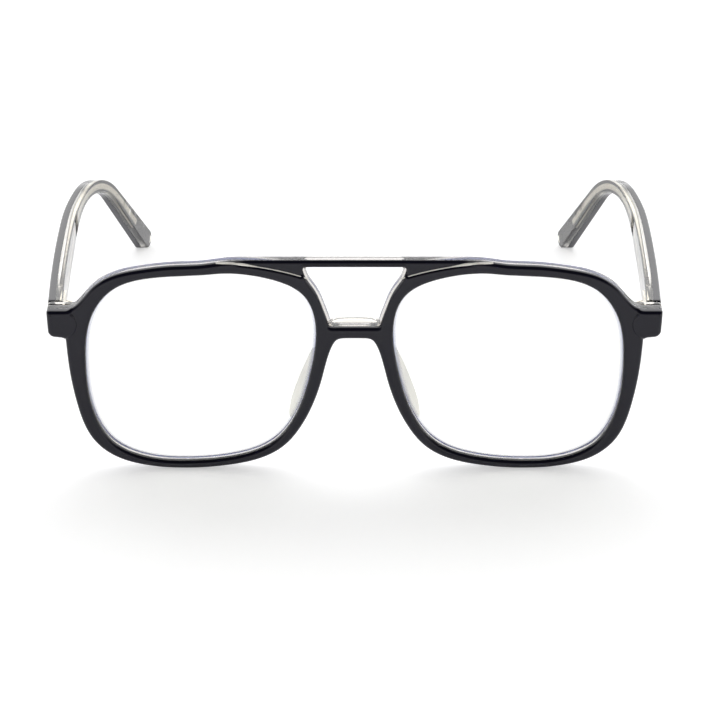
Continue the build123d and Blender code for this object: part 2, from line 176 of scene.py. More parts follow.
# ------------------------------------------------------------------ outlines
def smooth_outline(loop, step, softness, anticlockwise=True):
    """Evenly spaced points on a smooth curve through a loop's corners.

    Between two corners runs a Hermite curve whose ends point along the line between their
    neighbours, or straight along the edge where the loop turns sharply or where the edge is
    much longer than its neighbour. A Gaussian of this softness (mm) then rounds the corners.
    """
    if (area(loop) > 0) != anticlockwise:
        loop = loop[::-1]
    edge = np.roll(loop, -1, axis=0) - loop
    length = np.linalg.norm(edge[:, :2], axis=1)
    edge, loop, length = edge[length > 1e-4], loop[length > 1e-4], length[length > 1e-4]
    way = edge / length[:, None]
    before = np.roll(way, 1, axis=0)
    sharp = np.sum(way[:, :2] * before[:, :2], axis=1) < np.cos(np.radians(25.0))
    chord = edge + np.roll(edge, 1, axis=0)
    along = chord / np.linalg.norm(chord[:, :2], axis=1)[:, None]
    ratio = length / np.roll(length, 1)
    leave = np.where((sharp | (ratio > 3.0))[:, None], way, along)
    arrive = np.roll(np.where((sharp | (ratio < 1 / 3.0))[:, None], before, along), -1, axis=0)
    reach = np.concatenate([[0], np.cumsum(length)])
    count = int(round(reach[-1] / step))
    s = np.arange(count) * reach[-1] / count
    at = np.searchsorted(reach, s, side="right") - 1
    t = ((s - reach[at]) / length[at])[:, None]
    size = length[at][:, None]
    ends = loop, np.roll(loop, -1, axis=0)
    curve = ((2 * t**3 - 3 * t**2 + 1) * ends[0][at] + (t**3 - 2 * t**2 + t) * size * leave[at]
             + (3 * t**2 - 2 * t**3) * ends[1][at] + (t**3 - t**2) * size * arrive[at])
    if softness > 0:
        wave = np.fft.fftfreq(count, d=reach[-1] / count)
        keep = np.exp(-2 * (np.pi * wave * softness) ** 2)[:, None]
        curve = np.fft.ifft(np.fft.fft(curve, axis=0) * keep, axis=0).real
    return curve


def inward(outline):
    """Unit normals to the left of the travel, which is where the material lies."""
    way = np.roll(outline, -1, axis=0)[:, :2] - np.roll(outline, 1, axis=0)[:, :2]
    way /= np.linalg.norm(way, axis=1)[:, None]
    return np.stack([-way[:, 1], way[:, 0]], axis=1)


def inside(points, outlines):
    """Even-odd test of points against closed outlines."""
    hits = np.zeros(len(points), int)
    for loop in outlines:
        a, b = loop[:, :2], np.roll(loop, -1, axis=0)[:, :2]
        for part in np.array_split(np.arange(len(points)), max(1, len(points) // 2000)):
            px, py = points[part, 0][:, None], points[part, 1][:, None]
            across = (a[:, 1] > py) != (b[:, 1] > py)
            rise = np.where(b[:, 1] == a[:, 1], 1e-12, b[:, 1] - a[:, 1])
            left = px < a[:, 0] + (py - a[:, 1]) * (b[:, 0] - a[:, 0]) / rise
            hits[part] += np.sum(across & left, axis=1)
    return hits % 2 == 1


def distance(points, line_a, line_b):
    """Distance of each point to the nearest of the segments from line_a to line_b."""
    nearest = np.full(len(points), np.inf)
    run = line_b - line_a
    size = np.maximum(np.sum(run**2, axis=1), 1e-12)
    for part in np.array_split(np.arange(len(points)), max(1, len(points) // 1000)):
        gap = points[part][:, None, :] - line_a[None]
        t = np.clip(np.sum(gap * run, axis=2) / size, 0, 1)
        nearest[part] = np.sqrt(np.min(np.sum((gap - t[..., None] * run) ** 2, axis=2), axis=1))
    return nearest


def loop_distance(points, outlines):
    starts = np.concatenate([loop[:, :2] for loop in outlines])
    ends = np.concatenate([np.roll(loop[:, :2], -1, axis=0) for loop in outlines])
    return distance(points, starts, ends)


# ------------------------------------------------------------------ surfaces
def fill(outlines, spacing, extra=None):
    """Triangles of the flat region between outlines, with inner points on a staggered grid."""
    border = np.concatenate([loop[:, :2] for loop in outlines])
    low, high = border.min(axis=0), border.max(axis=0)
    gx, gy = np.meshgrid(np.arange(low[0], high[0], spacing),
                         np.arange(low[1], high[1], spacing * 0.87))
    gx[1::2] += spacing / 2
    grid = np.stack([gx.ravel(), gy.ravel()], axis=1)
    if extra is not None:
        clear = np.min(np.abs(grid[:, None, :] - extra[None]).max(axis=2), axis=1) > spacing * 0.4
        grid = grid[clear]
    grid = grid[inside(grid, outlines)]
    grid = grid[loop_distance(grid, outlines) > spacing * 0.45]
    if extra is not None:
        extra = extra[inside(extra, outlines)]
        grid = np.concatenate([grid, extra[loop_distance(extra, outlines) > 0.06]])
    points = np.concatenate([border, grid])
    edges = []
    first = 0
    for loop in outlines:
        number = first + np.arange(len(loop))
        edges.append(np.stack([number, np.roll(number, -1)], axis=1))
        first += len(loop)
    found = delaunay_2d_cdt([Vector(p) for p in points], np.concatenate(edges).tolist(), [], 0,
                            1e-6, True)
    origin = np.array([ids[0] if ids else -1 for ids in found[3]])
    faces = origin[np.array(found[2])]
    faces = faces[(faces >= 0).all(axis=1)]
    corner = points[faces]
    turn = np.cross(corner[:, 1] - corner[:, 0], corner[:, 2] - corner[:, 0])
    faces = np.where((turn > 0)[:, None], faces, faces[:, ::-1])
    keep = inside(corner.mean(axis=1), outlines) & (np.abs(turn) > 1e-9)
    return grid, faces[keep]


def quads(rows, columns, first=0, closed=True):
    """Faces of a grid whose rows run around a closed loop."""
    r = np.arange(rows - 1)[:, None] * columns
    c = np.arange(columns if closed else columns - 1)[None]
    n = (c + 1) % columns
    faces = np.stack([r + c, r + n, r + n + columns, r + c + columns], axis=2)
    return (first + faces).reshape(-1, 4)


def capped(rows, start, end):
    """Closed surface through rows of points around it, with a fan to a tip at each end."""
    grid = np.array(rows)
    count = grid.shape[1]
    points = np.concatenate([grid.reshape(-1, 3), [start, end]])
    around = np.arange(count)
    first_fan = np.stack([np.full(count, len(points) - 2), np.roll(around, -1), around], axis=1)
    last_fan = np.stack([np.full(count, len(points) - 1), around, np.roll(around, -1)], axis=1)
    last_fan[:, 1:] += (len(grid) - 1) * count
    return points, [quads(len(grid), count), first_fan, last_fan]


def plate(outlines, place, front, back, round_front, round_back, spacing=1.5, rise=None,
          extra=None):
    """Closed plate between two depths, with a rounded edge profile carried along each outline.

    The profile runs from the front face over a quarter circle, down the wall and over a second
    quarter circle. rise(points) moves the front face in depth, and place(u, v, depth) puts
    plate coordinates into space.
    """
    arc = np.linspace(0, np.pi / 2, ARC_STEPS)
    lip = 0.06
    least_wall = 0.05
    inset = np.concatenate([[round_front + lip], round_front * (1 - np.sin(arc)),
                            round_back * (1 - np.cos(arc)), [round_back + lip]])
    depth = np.concatenate([[0], round_front * (1 - np.cos(arc)),
                            -round_back * (1 - np.sin(arc)), [0]])
    from_front = np.arange(len(inset)) <= len(arc)
    points, faces, first_row, last_row = [], [], [], []
    count = 0
    for loop in outlines:
        flat = loop[:, :2][None] + inward(loop)[None] * inset[:, None, None]
        lift = np.zeros(len(loop)) if rise is None else rise(flat[0])
        # where the plate is thinner than its rounding, the rounding is flattened to fit
        fit = np.clip((back - least_wall - front - lift) / round_front, 0, 1)
        deep = np.where(from_front[:, None], front + lift[None] + depth[:, None] * fit,
                        back + depth[:, None])
        grid = np.concatenate([flat, deep[..., None]], axis=2).reshape(-1, 3)
        faces.append(quads(len(inset), len(loop), count)[:, ::-1])
        first_row.append((flat[0], count + np.arange(len(loop))))
        last_row.append((flat[-1], count + (len(inset) - 1) * len(loop)
                         + np.arange(len(loop))))
        points.append(grid)
        count += len(grid)
    caps = []
    for rows, is_front in ((first_row, True), (last_row, False)):
        loops = [row[0] for row in rows]
        inner, tri = fill(loops, spacing, extra if is_front else None)
        number = np.concatenate([row[1] for row in rows]
                                + [count + np.arange(len(inner))])
        level = np.full(len(inner), float(back))
        if is_front:
            level = front + (np.zeros(len(inner)) if rise is None else rise(inner))
        points.append(np.column_stack([inner, level]))
        count += len(inner)
        caps.append(number[tri] if is_front else number[tri][:, ::-1])
    local = np.concatenate(points)
    return place(local[:, 0], local[:, 1], local[:, 2]), faces + caps


def merge(*shapes):
    """Several closed surfaces as one."""
    points, faces, count = [], [], 0
    for p, f in shapes:
        points.append(p)
        faces += [part + count for part in outward(p, f)]
        count += len(p)
    return np.concatenate(points), faces


def outward(points, faces):
    """Faces turned so that the enclosed volume is positive."""
    total = 0.0
    for part in faces:
        for k in range(1, part.shape[1] - 1):
            a, b, c = points[part[:, 0]], points[part[:, k]], points[part[:, k + 1]]
            total += np.sum(a * np.cross(b, c))
    return faces if total > 0 else [part[:, ::-1] for part in faces]


def make_piece(name, shape, material, node, values=None):
    """A mesh object from places in mm and faces, riding on its node's body."""
    points, faces = shape
    points = np.clip(points, np.array(CAD_BOX[0]) / MM, np.array(CAD_BOX[1]) / MM)
    faces = outward(points, faces)
    mesh = bpy.data.meshes.new(name)
    sizes = np.concatenate([np.full(len(part), part.shape[1]) for part in faces])
    mesh.vertices.add(len(points))
    mesh.vertices.foreach_set("co", (points * MM).astype(np.float32).ravel())
    mesh.loops.add(int(sizes.sum()))
    corners = np.concatenate([part.ravel() for part in faces])
    mesh.loops.foreach_set("vertex_index", corners.astype(np.int32))
    mesh.polygons.add(len(sizes))
    mesh.polygons.foreach_set("loop_start", (np.cumsum(sizes) - sizes).astype(np.int32))
    mesh.update(calc_edges=True)
    mesh.validate()
    mesh.shade_smooth()
    for key, value in (values or {}).items():
        data = mesh.attributes.new(key, "FLOAT", "POINT").data
        data.foreach_set("value", value.astype(np.float32))
    piece = bpy.data.objects.new(name, mesh)
    bpy.context.scene.collection.objects.link(piece)
    mesh.materials.append(material)
    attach(piece, NODES[node]["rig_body"])
    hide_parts(node)
    return piece


# ------------------------------------------------------------------ finishes
def linear(colour):
    """sRGB hex to linear RGBA."""
    value = np.array([int(colour[i:i + 2], 16) for i in (1, 3, 5)]) / 255
    return (*np.where(value <= 0.04045, value / 12.92, ((value + 0.055) / 1.055) ** 2.4), 1.0)


def node(tree, kind, links=(), **settings):
    """Adds a node, sets its properties and inputs, and links inputs named in links."""
    made = tree.nodes.new(kind)
    for key, value in settings.items():
        if hasattr(made, key):
            setattr(made, key, value)
        else:
            made.inputs[key.replace("_", " ")].default_value = value
    for key, source in links:
        tree.links.new(source, made.inputs[key])
    return made


def blank(name):
    material = bpy.data.materials.new(name)
    material.use_nodes = True
    material.node_tree.nodes.clear()
    return material, material.node_tree


def noise(tree, scale, detail):
    """Fac output of a noise in the piece's own coordinates, with this many cells per metre."""
    where = node(tree, "ShaderNodeTexCoord").outputs["Object"]
    return node(tree, "ShaderNodeTexNoise", [("Vector", where)], Scale=scale,
                Detail=detail).outputs["Fac"]


def ramp(tree, value, dark, light):
    made = node(tree, "ShaderNodeValToRGB", [("Fac", value)])
    made.color_ramp.elements[0].color = linear(dark)
    made.color_ramp.elements[1].color = linear(light)
    return made.outputs["Color"]


def between(tree, value, low, high):
    return node(tree, "ShaderNodeMapRange", [("Value", value)], To_Min=low,
                To_Max=high).outputs["Result"]


def bumped(tree, height, strength):
    return node(tree, "ShaderNodeBump", [("Height", height)], Strength=strength,
                Distance=0.0001).outputs["Normal"]


def surface(tree, links=(), **settings):
    shader = node(tree, "ShaderNodeBsdfPrincipled", links, **settings)
    node(tree, "ShaderNodeOutputMaterial", [("Surface", shader.outputs["BSDF"])])


def polished_black_acetate(looks):
    """Cellulose acetate sheet, tumbled and buffed: deep black, a wet gloss, faint waviness."""
    material, tree = blank("polished_black_acetate")
    waves, hairs = noise(tree, 160.0, 1.0), noise(tree, 2600.0, 2.0)
    surface(tree, [("Base Color", ramp(tree, waves, "#090818", "#0f0e1e")),
                   ("Roughness", between(tree, hairs, 0.05, 0.11)),
                   ("Normal", bumped(tree, waves, 0.04))],
            IOR=looks.acetate_ior, Specular_IOR_Level=0.37)
    return material


def glassy_acetate(name, dark, light, roughness, looks):
    """Clear acetate sheet, polished: glassy, with slight casting streaks inside."""
    material, tree = blank(name)
    streaks = noise(tree, 260.0, 1.0)
    surface(tree, [("Base Color", ramp(tree, streaks, dark, light)),
                   ("Normal", bumped(tree, streaks, 0.03))],
            IOR=looks.acetate_ior, Roughness=roughness, Transmission_Weight=1.0)
    return material


def polished_clear_acetate(looks):
    """Temples and glued blocks: nearly colourless, with a faint warm tint."""
    return glassy_acetate("polished_clear_acetate", "#f4f0e6", "#fbfaf6", 0.04, looks)


def shaded_clear_acetate(looks):
    """Clear layer behind the black one, greyer than the other clear acetate: painted shade for the
    darker look it has behind the black layer.
    """
    return glassy_acetate("shaded_clear_acetate", "#d2cecb", "#e4e1de", 0.16, looks)


def satin_acetate(name, dark, light, transmission, looks):
    """Filed and half-polished clear acetate: milky, with fine file marks that scatter the light."""
    material, tree = blank(name)
    marks = noise(tree, 1800.0, 3.0)
    surface(tree, [("Base Color", ramp(tree, marks, dark, light)),
                   ("Roughness", between(tree, marks, 0.28, 0.46)),
                   ("Normal", bumped(tree, marks, 0.05))],
            IOR=looks.acetate_ior, Transmission_Weight=transmission)
    return material


def satin_pad_acetate(looks):
    """Nose pads, shaped by hand and left satin."""
    return satin_acetate("satin_pad_acetate", "#eeede6", "#fafaf6", 0.8, looks)


def painted_crease_highlight(looks):
    """Painted highlight: opaque cream-white acetate for the bead in the crease of the brow bar,
    standing in for the highlight there.
    """
    return satin_acetate("painted_crease_highlight", "#fcf7ea", "#fffdf6", 0.0, looks)


def coated_lens_plastic(looks):
    """Hard-coated lens resin: clear, with a blue-violet reflection and a finely ground bevel."""
    material, tree = blank("coated_lens_plastic")
    ground = node(tree, "ShaderNodeAttribute", attribute_name="ground").outputs["Fac"]
    grit = noise(tree, 1500.0, 2.0)
    tint = node(tree, "ShaderNodeMix", [("Factor", ground)], data_type="RGBA")
    tint.inputs[6].default_value = linear("#fefefb")
    tint.inputs[7].default_value = linear("#4a5cbc")
    rough = node(tree, "ShaderNodeMath", [(0, ground)], operation="MULTIPLY")
    rough.inputs[1].default_value = 0.45
    bump = node(tree, "ShaderNodeBump", [("Height", grit), ("Strength", ground)], Distance=0.0002)
    surface(tree, [("Base Color", tint.outputs[2]), ("Roughness", rough.outputs[0]),
                   ("Transmission Weight", between(tree, ground, 1.0, 0.45)),
                   ("Normal", bump.outputs["Normal"])],
            IOR=looks.lens_ior, Specular_Tint=linear("#b9b4ff"))
    return material


def plated_nickel(looks):
    """Nickel-plated hinge metal: bright, with fine barrel-finishing scratches."""
    material, tree = blank("plated_nickel")
    marks = noise(tree, 5000.0, 2.0)
    surface(tree, [("Base Color", ramp(tree, marks, "#b9b4aa", "#d8d4ca")),
                   ("Roughness", between(tree, marks, 0.16, 0.34))], Metallic=1.0)
    return material


def drawn_nickel_silver(looks):
    """Flat-drawn nickel-silver wire: warm grey, with fine lines along its length."""
    material, tree = blank("drawn_nickel_silver")
    where = node(tree, "ShaderNodeTexCoord").outputs["Object"]
    stretch = node(tree, "ShaderNodeMapping", [("Vector", where)])
    stretch.inputs["Scale"].default_value = (6000.0, 250.0, 6000.0)
    lines = node(tree, "ShaderNodeTexNoise", [("Vector", stretch.outputs["Vector"])], Scale=1.0,
                 Detail=1.0).outputs["Fac"]
    surface(tree, [("Base Color", ramp(tree, lines, "#bdb8ad", "#dedad0")),
                   ("Roughness", between(tree, lines, 0.2, 0.4))], Metallic=1.0)
    return material


FINISHES = {
    "black_acetate": polished_black_acetate,
    "clear_acetate": polished_clear_acetate,
    "coated_lens": coated_lens_plastic,
    "hinge_metal": plated_nickel,
    "core_wire_metal": drawn_nickel_silver,
    # Greyer copy of the clear acetate for the front: painted shade.
    "shaded_clear_layer": shaded_clear_acetate,
    "satin_pad": satin_pad_acetate,
    # Cream-white strip for the crease of the brow bar: painted highlight.
    "crease_highlight_finish": painted_crease_highlight,
}


def finish_for(key):
    """The material of a slot or of a special finish, made once."""
    made = bpy.data.materials.get(FINISHES[key].__name__)
    return made or FINISHES[key](bpy.context.scene.spectacle_looks)


# ------------------------------------------------------------------ settings
def setting(name, description, default, low, high):
    return FloatProperty(name=name, description=description, default=default, min=low, max=high)


class SpectacleSizes(PropertyGroup):
    black_round: setting("Black edge rounding", "Radius of the polished front edges (mm)",
                         0.95, 0.05, 1.2)
    clear_round: setting("Clear edge rounding", "Radius of the polished rear edges (mm)",
                         0.5, 0.05, 1.0)
    crease_round: setting("Crease rounding", "Shoulder over the brow bar's step (mm)",
                          0.5, 0.1, 1.0)
    boss_round: setting("Boss rounding", "Shoulder around the endpiece bosses (mm)",
                        0.8, 0.1, 1.5)
    temple_round: setting("Temple edge rounding", "Radius of the temple edges (mm)",
                          0.4, 0.05, 0.8)
    outline_step: setting("Outline step", "Spacing of points along an outline (mm)",
                          0.25, 0.1, 1.0)
    bond_overlap: setting("Bond overlap", "The black layer reaches into the clear one (mm)",
                          0.07, 0.0, 0.2)
    bond_gap: setting("Bond gap", "Optical gap between two clear blocks (mm)",
                      0.01, 0.0, 0.05)
    # The next two settings size the painted highlight strip in the crease of the brow bar.
    seam_radius: setting("Seam radius", "Half the thickness of the seam in the crease (mm)",
                         0.14, 0.05, 0.4)
    wedge_radius: setting("Wedge radius", "Half the thickness of the seam near its outer end (mm)",
                          0.34, 0.05, 0.6)
    lens_reach: setting("Lens reach", "Mean distance from a lens's middle to its edge (mm)",
                        26.0, 5.0, 60.0)
    lens_tint: setting("Lens edge tint", "Width of the violet zone along a lens's edge (mm)",
                       0.9, 0.1, 3.0)
    pad_length: setting("Pad length", "Share of the pad's room that it fills, from its top",
                        0.87, 0.5, 1.0)
    lens_rings: IntProperty(name="Lens rings", default=24, min=6, max=80,
                            description="Rings of faces from the middle of a lens to its edge")


class SpectacleLooks(PropertyGroup):
    acetate_ior: setting("Acetate IOR", "Refractive index of cellulose acetate", 1.48, 1.3, 1.7)
    lens_ior: setting("Lens IOR", "Refractive index of the lens resin", 1.5, 1.3, 1.8)


class StudioSettings(PropertyGroup):
    floor_colour: FloatVectorProperty(name="Floor", description="Colour of the floor, linear",
                                      subtype="COLOR", size=3, default=(0.88, 0.88, 0.88),
                                      min=0, max=1)
    floor_glow: setting("Floor glow", "Light given off by the light table", 0.48, 0, 2)
    rear_power: setting("Rear overhead light", "Power of the rear overhead softbox (W)",
                        1.0, 0, 1000)
    side_power: setting("Side lights", "Power of each side softbox (W)", 2.0, 0, 1000)
    wall_strength: setting("Rear wall", "Brightness of the white wall behind", 2.2, 0, 5)
    horizon_strength: setting("Horizon", "Brightness of the low band around the floor",
                              1.0, 0, 5)
    room_strength: setting("Room", "Brightness of the rest of the room", 0.07, 0, 5)


# ------------------------------------------------------------------ the front
def flat_place(u, v, depth):
    return np.column_stack([u, depth, v])


def largest(loops):
    return max(loops, key=lambda l: abs(area(l)))


def sorted_outlines(loops, step, softness):
    """The largest loop anticlockwise and the others clockwise, with the material on their left."""
    order = sorted(loops, key=lambda l: -abs(area(l)))
    return [smooth_outline(loop, step, softness, i == 0) for i, loop in enumerate(order)]


def front_levels():
    """Depths of the boss, rim and bar faces of the black layer, from the front to the back."""
    tri, normal = triangles("front_black_layer")
    size = np.linalg.norm(np.cross(tri[:, 1] - tri[:, 0], tri[:, 2] - tri[:, 0]), axis=1)
    flat = normal[:, 1] < -0.9999
    level, number = np.unique(np.round(tri[flat, 0, 1], 2), return_inverse=True)
    total = np.bincount(number, weights=size[flat])
    least = 20.0
    return np.sort(level[total > least])


class FrontStep:
    """A step between two levels of the front face, with a rounded shoulder on its higher side."""

    def __init__(self, loop, outlines, height, shoulder):
        self.loop = loop
        self.height = height
        self.shoulder = shoulder
        after = np.roll(loop, -1, axis=0)
        middle = (loop + after) / 2
        # the rounded corners of the gap come close to the loop, so more is left out there
        near_gap = np.abs(middle[:, 0]) < GAP_HALF
        free = loop_distance(middle, outlines) > np.where(near_gap, 0.6, 0.15)
        self.a, self.b = loop[free], after[free]

    def signed(self, points):
        """Distance to the step line, positive on the side of the loop."""
        return distance(points, self.a, self.b) * np.where(inside(points, [self.loop]), 1, -1)

    def rows(self, spacing=0.3):
        """Points along the step line, at the offsets that its profile needs."""
        run = self.b - self.a
        length = np.linalg.norm(run, axis=1)
        parts = np.maximum(1, np.ceil(length / spacing)).astype(int)
        owner = np.repeat(np.arange(len(parts)), parts)
        share = (np.arange(len(owner)) - np.repeat(np.cumsum(parts) - parts, parts)) / parts[owner]
        at = self.a[owner] + run[owner] * share[:, None]
        side = np.stack([-run[:, 1], run[:, 0]], axis=1)[owner] / length[owner][:, None]
        over = -self.shoulder * np.sin(np.linspace(0, np.pi / 2, ARC_STEPS)) + 0.0
        offsets = np.concatenate([over, [0.07, -1.15 * self.shoulder, 0.2]])
        return np.concatenate([at + side * k * sign for k in offsets for sign in (1, -1)])


def runs(step):
    """The step line's unbroken runs of segments, as ordered open lines; short ones are left out."""
    shortest = 8.0
    breaks = np.flatnonzero(np.linalg.norm(step.b - np.roll(step.a, -1, axis=0), axis=1) > 1e-3)
    starts = np.roll(breaks, 1) + 1
    lines = []
    for first, last in zip(starts, breaks):
        stop = last + 1 if last >= first else last + 1 + len(step.a)
        pick = np.arange(first, stop) % len(step.a)
        lines.append(np.vstack([step.a[pick], step.b[pick[-1]]]))
    return [line for line in lines if np.linalg.norm(line[-1] - line[0]) > shortest]


def seam_bead(line, depth, sizes):
    """Round bead carried along a step line, with a wide start at its outer end; a painted highlight
    in the crease, widest where the highlight is brightest.

    The radius swells to the wedge radius over the first four mm, holds it to the sixth and falls
    to the thinner highlight radius by the tenth. The bead runs on past the inner end, and its ends
    are closed.
    """
    past_end, spacing = 0.7, 0.25
    start_radius, early_radius = 0.2, 0.3
    if abs(line[0, 0]) < abs(line[-1, 0]):
        line = line[::-1]
    last = line[-1] - line[-2]
    line = np.vstack([line, line[-1] + last / np.linalg.norm(last) * past_end])
    length = np.concatenate([[0], np.cumsum(np.linalg.norm(np.diff(line, axis=0), axis=1))])
    s = np.linspace(0, length[-1], max(12, int(length[-1] / spacing)))
    at = np.column_stack([np.interp(s, length, line[:, k]) for k in (0, 1)])
    way = np.gradient(at, axis=0)
    side = np.column_stack([-way[:, 1], way[:, 0]]) / np.linalg.norm(way, axis=1)[:, None]
    side *= np.sign(side[:, 1])[:, None]
    wedge, glint = sizes.wedge_radius, sizes.seam_radius
    radius = np.interp(s, [0, 2.0, 4.0, 6.0, 10.0, length[-1]],
                       [start_radius, early_radius, wedge, wedge, glint, glint])
    turn = np.linspace(0, 2 * np.pi, 12, endpoint=False)
    middle = at + side * (radius * 0.75)[:, None]
    flat = middle[:, None] + side[:, None] * (radius[:, None] * np.cos(turn))[..., None]
    deep = depth - 0.3 * radius[:, None] + radius[:, None] * np.sin(turn)
    grid = np.stack([flat[..., 0], deep, flat[..., 1]], axis=2)
    return capped(grid, grid[0].mean(axis=0), grid[-1].mean(axis=0))


def front_rise(bar, boss):
    """Depth of the front face against the rim level.

    The bar lies deeper by its step, the boss stands proud. On the higher side of each step the
    surface falls along a quarter circle as wide as the shoulder, and at the bar this takes up
    a share of the step, with a straight drop for the rest.
    """
    curved = 0.88

    def rise(points):
        s = -bar.signed(points)
        t = np.clip(1 - s / bar.shoulder, 0, 1)
        fall = np.where(s < 0, 1.0, curved * (1 - np.sqrt(1 - t**2)))
        out = bar.height * fall
        for step in boss:
            s = step.signed(points)
            t = np.clip(1 - s / step.shoulder, 0, 1)
            out = out - step.height * np.where(s < 0, 0.0, 1 - (1 - np.sqrt(1 - t**2)))
        return out
    return rise


class SPECTACLES_OT_front_black(Operator):
    """Black layer of the front: rims, recessed brow bar and endpiece bosses, and a painted
    highlight strip in the crease
    """
    bl_idname = "spectacles.front_black"
    bl_label = "Black front layer"

    def execute(self, context):
        sizes = context.scene.spectacle_sizes
        back = box_mm("front_black_layer")[1][1]
        boss_y, rim_y, bar_y = front_levels()
        outlines = sorted_outlines(facing_loops("front_black_layer", back), sizes.outline_step,
                                   SOFTNESS)
        bar_loop = largest(facing_loops("front_black_layer", bar_y))
        bar = FrontStep(bar_loop, outlines, bar_y - rim_y, sizes.crease_round)
        boss = [FrontStep(loop, outlines, rim_y - boss_y, sizes.boss_round)
                for loop in facing_loops("front_black_layer", boss_y)]
        rows = np.concatenate([step.rows() for step in [bar] + boss])
        shape = plate(outlines, flat_place, rim_y, back + sizes.bond_overlap, sizes.black_round,
                      TINY_ROUND, rise=front_rise(bar, boss), extra=rows)
        make_piece("black_front", shape, finish_for("black_acetate"), "front_black_layer")
        # Painted highlight: a cream-white bead along the crease of the brow bar stands in for the
        # highlight there.
        beads = [seam_bead(line, bar_y, sizes) for line in runs(bar)]
        make_piece("crease_highlight_strip", merge(*beads), finish_for("crease_highlight_finish"), "front_clear_layer")
        return {"FINISHED"}


class SPECTACLES_OT_front_clear(Operator):
    """Clear layer of the front and the clear blocks glued behind it"""
    bl_idname = "spectacles.front_clear"
    bl_label = "Clear front layer and blocks"

    def execute(self, context):
        sizes = context.scene.spectacle_sizes
        for name, node_name, rounding in (
                ("clear_front", "front_clear_layer", sizes.clear_round),
                ("saddle_block", "bridge_block", SADDLE_ROUND),
                ("end_block_right", "endpiece_block_right", sizes.clear_round),
                ("end_block_left", "endpiece_block_left", sizes.clear_round)):
            low, high = box_mm(node_name)
            front = low[1] + (0 if node_name == "front_clear_layer" else sizes.bond_gap)
            loops = facing_loops(node_name, low[1])
            outlines = sorted_outlines(loops, sizes.outline_step, SOFTNESS)
            shape = plate(outlines, flat_place, front, high[1], BLOCK_ROUND, rounding)
            # The front's clear layer takes the greyer copy of clear acetate: painted shade.
            finish = finish_for("shaded_clear_layer" if name == "clear_front" else "clear_acetate")
            make_piece(name, shape, finish, node_name)
        return {"FINISHED"}


# ------------------------------------------------------------------ lenses and pads
def lens_shape(side, sizes):
    """Closed lens: two spherical faces, and a V bevel carried round its outline.

    A place is the lens middle plus a share of the way to the outline. Its depth on the front
    face is the crown's depth plus R - sqrt(R^2 - d^2), where d is the distance from the middle,
    and the rear face has a radius less by the thickness. Also returns how far each point is
    tinted and ground, from 0 to 1.
    """
    node_name = "lens_" + side
    rim_y = front_levels()[1]
    bevel_front, bevel_back = rim_y + BEVEL_FRONT, rim_y + BEVEL_BACK
    outer = smooth_outline(largest(facing_loops(node_name, bevel_front)), 0.4, 0.2)
    edge = outer + inward(outer) * (BEVEL_DEPTH + GROOVE_FIT)
    peak = outer + inward(outer) * 0.06
    peak_y, peak_half = (bevel_front + bevel_back) / 2, 0.04
    middle = np.array([SIDES[side] * LENS_MIDDLE[0], LENS_MIDDLE[1]])
    crown = rim_y + LENS_CROWN

    def face(points, shift):
        flat = np.sum((points - middle) ** 2, axis=-1)
        return crown + shift + LENS_RADIUS - np.sqrt((LENS_RADIUS - shift) ** 2 - flat) - shift

    share = np.sin(np.linspace(0, np.pi / 2, sizes.lens_rings + 1))[1:]
    disc = middle + (edge - middle)[None] * share[:, None, None]
    bevel = [(edge, bevel_front), (peak, peak_y - peak_half), (peak, peak_y + peak_half),
             (edge, bevel_back)]
    rows = [np.column_stack([flat, face(flat, 0)]) for flat in disc]
    rows += [np.column_stack([flat, np.full(len(flat), deep)]) for flat, deep in bevel]
    rows += [np.column_stack([flat, face(flat, LENS_THICKNESS)]) for flat in disc[::-1]]
    local, faces = capped(rows, [*middle, crown], [*middle, crown + LENS_THICKNESS])
    ground = np.ones((len(rows), len(outer)))
    most = 0.3
    near = most * np.clip(1 - (1 - share) * sizes.lens_reach / sizes.lens_tint, 0, 1)
    ground[:len(share)] = near[:, None]
    ground[-len(share):] = near[::-1, None]
    return (flat_place(*local.T), faces), np.append(ground.ravel(), [0.0, 0.0])


class SPECTACLES_OT_lenses(Operator):
    """Coated lenses with a ground V bevel in the groove"""
    bl_idname = "spectacles.lenses"
    bl_label = "Lenses"

    def execute(self, context):
        for side in SIDES:
            shape, ground = lens_shape(side, context.scene.spectacle_sizes)
            make_piece("coated_lens_" + side, shape, finish_for("coated_lens"), "lens_" + side,
                       {"ground": ground})
        return {"FINISHED"}


def pad_outline(loop, top, sizes):
    """A pad's outline, shortened towards its top and spread over an even count of points."""
    loop = np.column_stack([loop[:, 0], top - (top - loop[:, 1]) * sizes.pad_length])
    loop = np.roll(loop, -int(np.argmax(loop[:, 1])), axis=0)
    at = np.linspace(0, len(loop), PAD_POINTS, endpoint=False)
    whole = np.vstack([loop, loop[:1]])
    return np.column_stack([np.interp(at, np.arange(len(whole)), whole[:, k]) for k in (0, 1)])


